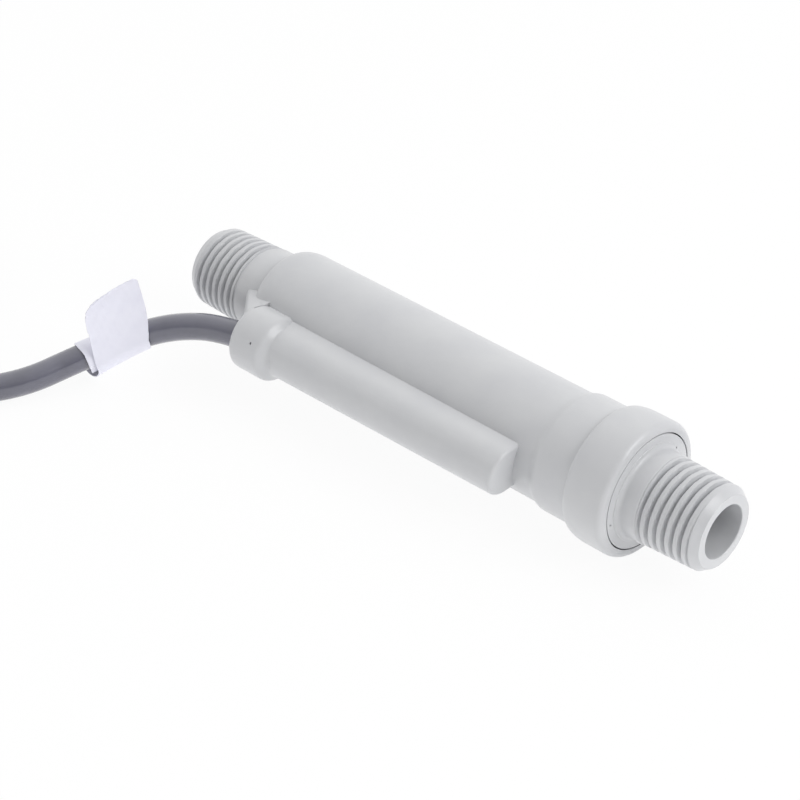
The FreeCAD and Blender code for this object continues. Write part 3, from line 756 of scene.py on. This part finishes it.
# Extruded grey PVC jacket: bluish grey under a smooth skin, with a soft broad highlight and a
# faint grain from the die.
grey_jacket = grained(
    "extruded_grey_pvc", ("#5f5f6b", "#686876"), 5, 0.3, (0.16, 0.28), 0.15, IOR=1.6,
    **{"Coat Weight": 0.8, "Coat Roughness": 0.16},
)
cable_line.materials.append(grey_jacket)
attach(cable, "sensor_body")
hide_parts("cable_lead", "cable_coil", "cable_tail")

# Tag: one strip of white vinyl film, wound a little over once round the cable on the skew, with
# its free end standing up as a flag with rounded corners. The winding hangs a little loose at its
# far edge, and the tag is blank.
tag_from = 21.2
tag_width = 10.1
film = 0.14
flag_height = 11.2
flag_spread = 0.56
flag_bulge = 0.5
bulge_scale = 27 / 4
flag_slant = 0.224
slant_onset = 1.0
flag_lean = 2.7
flag_lean_back = 2.9
near_corner = 0.7
far_corner = 3.0
inner_radius = cable_radius + 0.08
winding_turn = math.radians(430)
winding_growth = 0.15
far_slack = 0.7
slack_taken_up = 0.5
# Each drift of the winding along the cable: the turn under the flag where it starts and ends.
winding_drifts = [
    (math.radians(0), math.radians(130), 1.8), (math.radians(250), math.radians(330), -0.7)
]
winding_rows = 86
flag_rows = 40
tag_columns = 24
cable_run = [0.0]
for before, after in zip(cable_way, cable_way[1:]):
    cable_run.append(cable_run[-1] + (after - before).length)


def cable_frame(distance):
    """Point on the cable at a distance from its start, its heading, its side and its upper side."""
    spot = max(3, next(k for k, run in enumerate(cable_run) if run >= distance))
    span = cable_run[spot] - cable_run[spot - 1]
    share = (distance - cable_run[spot - 1]) / span
    point = cable_way[spot - 1].lerp(cable_way[spot], share)
    along = (cable_way[spot + 2] - cable_way[spot - 3]).normalized()
    side = Vector((0, 0, 1)).cross(along).normalized()
    return point, along, side, along.cross(side)


def corner_inset(corner, left_to_top):
    """How far a rounded corner of the flag draws its edge in, near the flag's top."""
    over = max(0.0, corner - left_to_top)
    return corner - math.sqrt(max(0.0, corner ** 2 - over ** 2))


clear_selection()
bpy.ops.mesh.primitive_grid_add(
    x_subdivisions=tag_columns, y_subdivisions=winding_rows + flag_rows, size=1
)
tag = bpy.context.object
tag.name = "tag_film"
for vertex in tag.data.vertices:
    across = vertex.co.x + 0.5
    row = (vertex.co.y + 0.5) * (winding_rows + flag_rows) - winding_rows
    slack = far_slack * across
    if row >= 0:
        share = row / flag_rows
        rise = share * flag_height
        near = corner_inset(near_corner, flag_height - rise)
        far = corner_inset(far_corner, flag_height - rise)
        shift = near + across * (tag_width - near - far) + flag_spread * (across - 0.5) * share
        shift -= flag_slant * rise ** 2 / (rise + slant_onset)
        shift -= flag_bulge * (1 - across) * bulge_scale * share * (1 - share) ** 2
        point, along, side, up = cable_frame(tag_from + shift)
        lean = flag_lean * share - flag_lean_back * share ** 2
        reach = inner_radius + winding_growth * winding_turn / math.tau + slack - lean
        spot = point + side * reach + up * (rise - slack)
    else:
        turn = -row / winding_rows * winding_turn
        slack *= 1 - slack_taken_up * eased(turn, math.pi, winding_turn)
        radius = inner_radius + winding_growth * (winding_turn - turn) / math.tau + slack
        drift = sum(step * eased(turn, start, end) for start, end, step in winding_drifts)
        point, along, side, up = cable_frame(tag_from + across * tag_width + drift)
        spot = point - up * slack + (side * math.cos(turn) - up * math.sin(turn)) * radius
    vertex.co = spot * MM
thickness = tag.modifiers.new("thickness", "SOLIDIFY")
thickness.thickness = film * MM
thickness.offset = 0
bpy.ops.object.modifier_apply(modifier=thickness.name)
finish_mesh(tag, 40)

# White vinyl film: smooth and slightly bluish, with a soft sheen.
white_vinyl = grained(
    "white_vinyl_film", ("#e9e9f5", "#ededf8"), 3, 0.3, (0.3, 0.42), 0.06, IOR=1.5
)
tag.data.materials.append(white_vinyl)
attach(tag, "sensor_body")
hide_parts("cable_tag")

# Tie and stripped end: a moulded black nylon tie round the coil, satin and finely grained, and the
# two cores, whose bare copper strands are twisted and tinned, so they shine unevenly.
black_nylon = grained(
    "moulded_black_nylon", ("#1a1a1c", "#202023"), 2, 0.2, (0.38, 0.55), 0.15, IOR=1.53
)
tinned_strands = grained(
    "tinned_copper_strands", ("#bdbcb6", "#d0cfca"), 0.6, 0.16, (0.25, 0.42), 0.6, Metallic=1.0
)
dress(black_nylon, "coil_tie")
dress(tinned_strands, "lead_tip_black", "lead_tip_white")

# Table: a plain white top under the part, which keeps a faint shadow. The camera, gloss and glass
# see it nearly white, and it sends a little light of its own up to the part's underside.
# Sizes of the table, the backdrop and the light are in metres.
table_radius = 3.0
table_glow = 0.36
table_white_share = 0.93
table_z = cad_low.z
clear_selection()
bpy.ops.mesh.primitive_circle_add(
    vertices=96, radius=table_radius, fill_type="NGON", location=(0, 0, table_z)
)
table = bpy.context.object
table.name = "table"


def seen_directly(material):
    """Share that is 1 for rays from the camera, off gloss or through glass, and 0 for all others."""
    path = add(material, "ShaderNodeLightPath", {})
    seen = path.outputs["Is Camera Ray"]
    for ray in ("Is Glossy Ray", "Is Transmission Ray"):
        either = add(
            material, "ShaderNodeMath", {"operation": "MAXIMUM"}, {0: seen, 1: path.outputs[ray]}
        )
        seen = either.outputs[0]
    return seen


white_table = new_material("white_table")
shadowed = add(white_table, "ShaderNodeBsdfDiffuse", {"Color": srgb("#fafafa")})
glow = add(white_table, "ShaderNodeEmission", {"Color": srgb("#ffffff"), "Strength": table_glow})
lit_table = add(white_table, "ShaderNodeAddShader", {}, {0: shadowed.outputs[0], 1: glow.outputs[0]})
clean = add(white_table, "ShaderNodeEmission", {"Color": srgb("#ffffff"), "Strength": 1.0})
part_white = add(
    white_table, "ShaderNodeMixShader", {"Fac": table_white_share},
    {1: shadowed.outputs[0], 2: clean.outputs[0]},
)
table_look = add(
    white_table, "ShaderNodeMixShader", {},
    {0: seen_directly(white_table), 1: lit_table.outputs[0], 2: part_white.outputs[0]},
)
add(white_table, "ShaderNodeOutputMaterial", {}, {"Surface": table_look.outputs[0]})
table.data.materials.append(white_table)

# Backdrop: a low white screen round the table's rim, for views from close to the table.
# The camera, gloss and glass see it white, and it takes no light away from the part.
screen_radius = 2.95
screen_height = 0.8
clear_selection()
bpy.ops.mesh.primitive_cylinder_add(
    vertices=96, radius=screen_radius, depth=screen_height, end_fill_type="NOTHING",
    location=(0, 0, table_z + screen_height / 2),
)
screen = bpy.context.object
screen.name = "backdrop"
white_screen = new_material("white_backdrop")
open_air = add(white_screen, "ShaderNodeBsdfTransparent", {})
clean = add(white_screen, "ShaderNodeEmission", {"Color": srgb("#ffffff"), "Strength": 1.0})
screen_look = add(
    white_screen, "ShaderNodeMixShader", {},
    {0: seen_directly(white_screen), 1: open_air.outputs[0], 2: clean.outputs[0]},
)
add(white_screen, "ShaderNodeOutputMaterial", {}, {"Surface": screen_look.outputs[0]})
screen.data.materials.append(white_screen)

# Light: a soft white surround that is brightest above and behind, and falls off to the front,
# with one softbox above the outlet's end that lights the faces turned that way.
sky_level = 0.41
sky_slope = (-0.38, 0.32, 0.6)
sky_top = 3.0
softbox_size = (0.5, 0.4)
softbox_power = 2.63
softbox_place = Vector((0.664, 0.143, 0.493))
softbox_target = Vector((0.05, 0, 0))
world = bpy.data.worlds.new("studio")
bpy.context.scene.world = world
world.use_nodes = True
facing = add(world, "ShaderNodeTexCoord", {})
slope = add(
    world, "ShaderNodeVectorMath", {"operation": "DOT_PRODUCT"}, {0: facing.outputs["Generated"]}
)
slope.inputs[1].default_value = sky_slope
sky_light = add(
    world, "ShaderNodeMapRange",
    {"From Min": -sky_level, "From Max": sky_top - sky_level, "To Min": 0.0, "To Max": sky_top},
    {"Value": slope.outputs["Value"]},
)
sky = world.node_tree.nodes["Background"]
sky.inputs["Color"].default_value = srgb("#ffffff")
world.node_tree.links.new(sky_light.outputs["Result"], sky.inputs["Strength"])
softbox_data = bpy.data.lights.new("softbox", "AREA")
softbox_data.shape = "RECTANGLE"
softbox_data.size, softbox_data.size_y = softbox_size
softbox_data.energy = softbox_power
softbox = bpy.data.objects.new("softbox", softbox_data)
bpy.context.scene.collection.objects.link(softbox)
softbox.location = softbox_place
softbox.rotation_euler = (softbox_target - softbox_place).to_track_quat("-Z", "Y").to_euler()

# Camera: at the photograph's angle, looking down on the outlet's end from the bar's side.
# Its place is in millimetres.
camera_place = (252.88, -227.13, 213.86)
camera_downward = 35.40
camera_heading = 43.16
camera_data = bpy.data.cameras.new("camera")
camera_data.lens = 112.0
camera_data.sensor_width = 36.0
camera = bpy.data.objects.new("camera", camera_data)
bpy.context.scene.collection.objects.link(camera)
camera.location = [side * MM for side in camera_place]
camera.rotation_euler = (math.radians(90 - camera_downward), 0, math.radians(camera_heading))
bpy.context.scene.camera = camera
bpy.context.scene.view_settings.view_transform = "Standard"
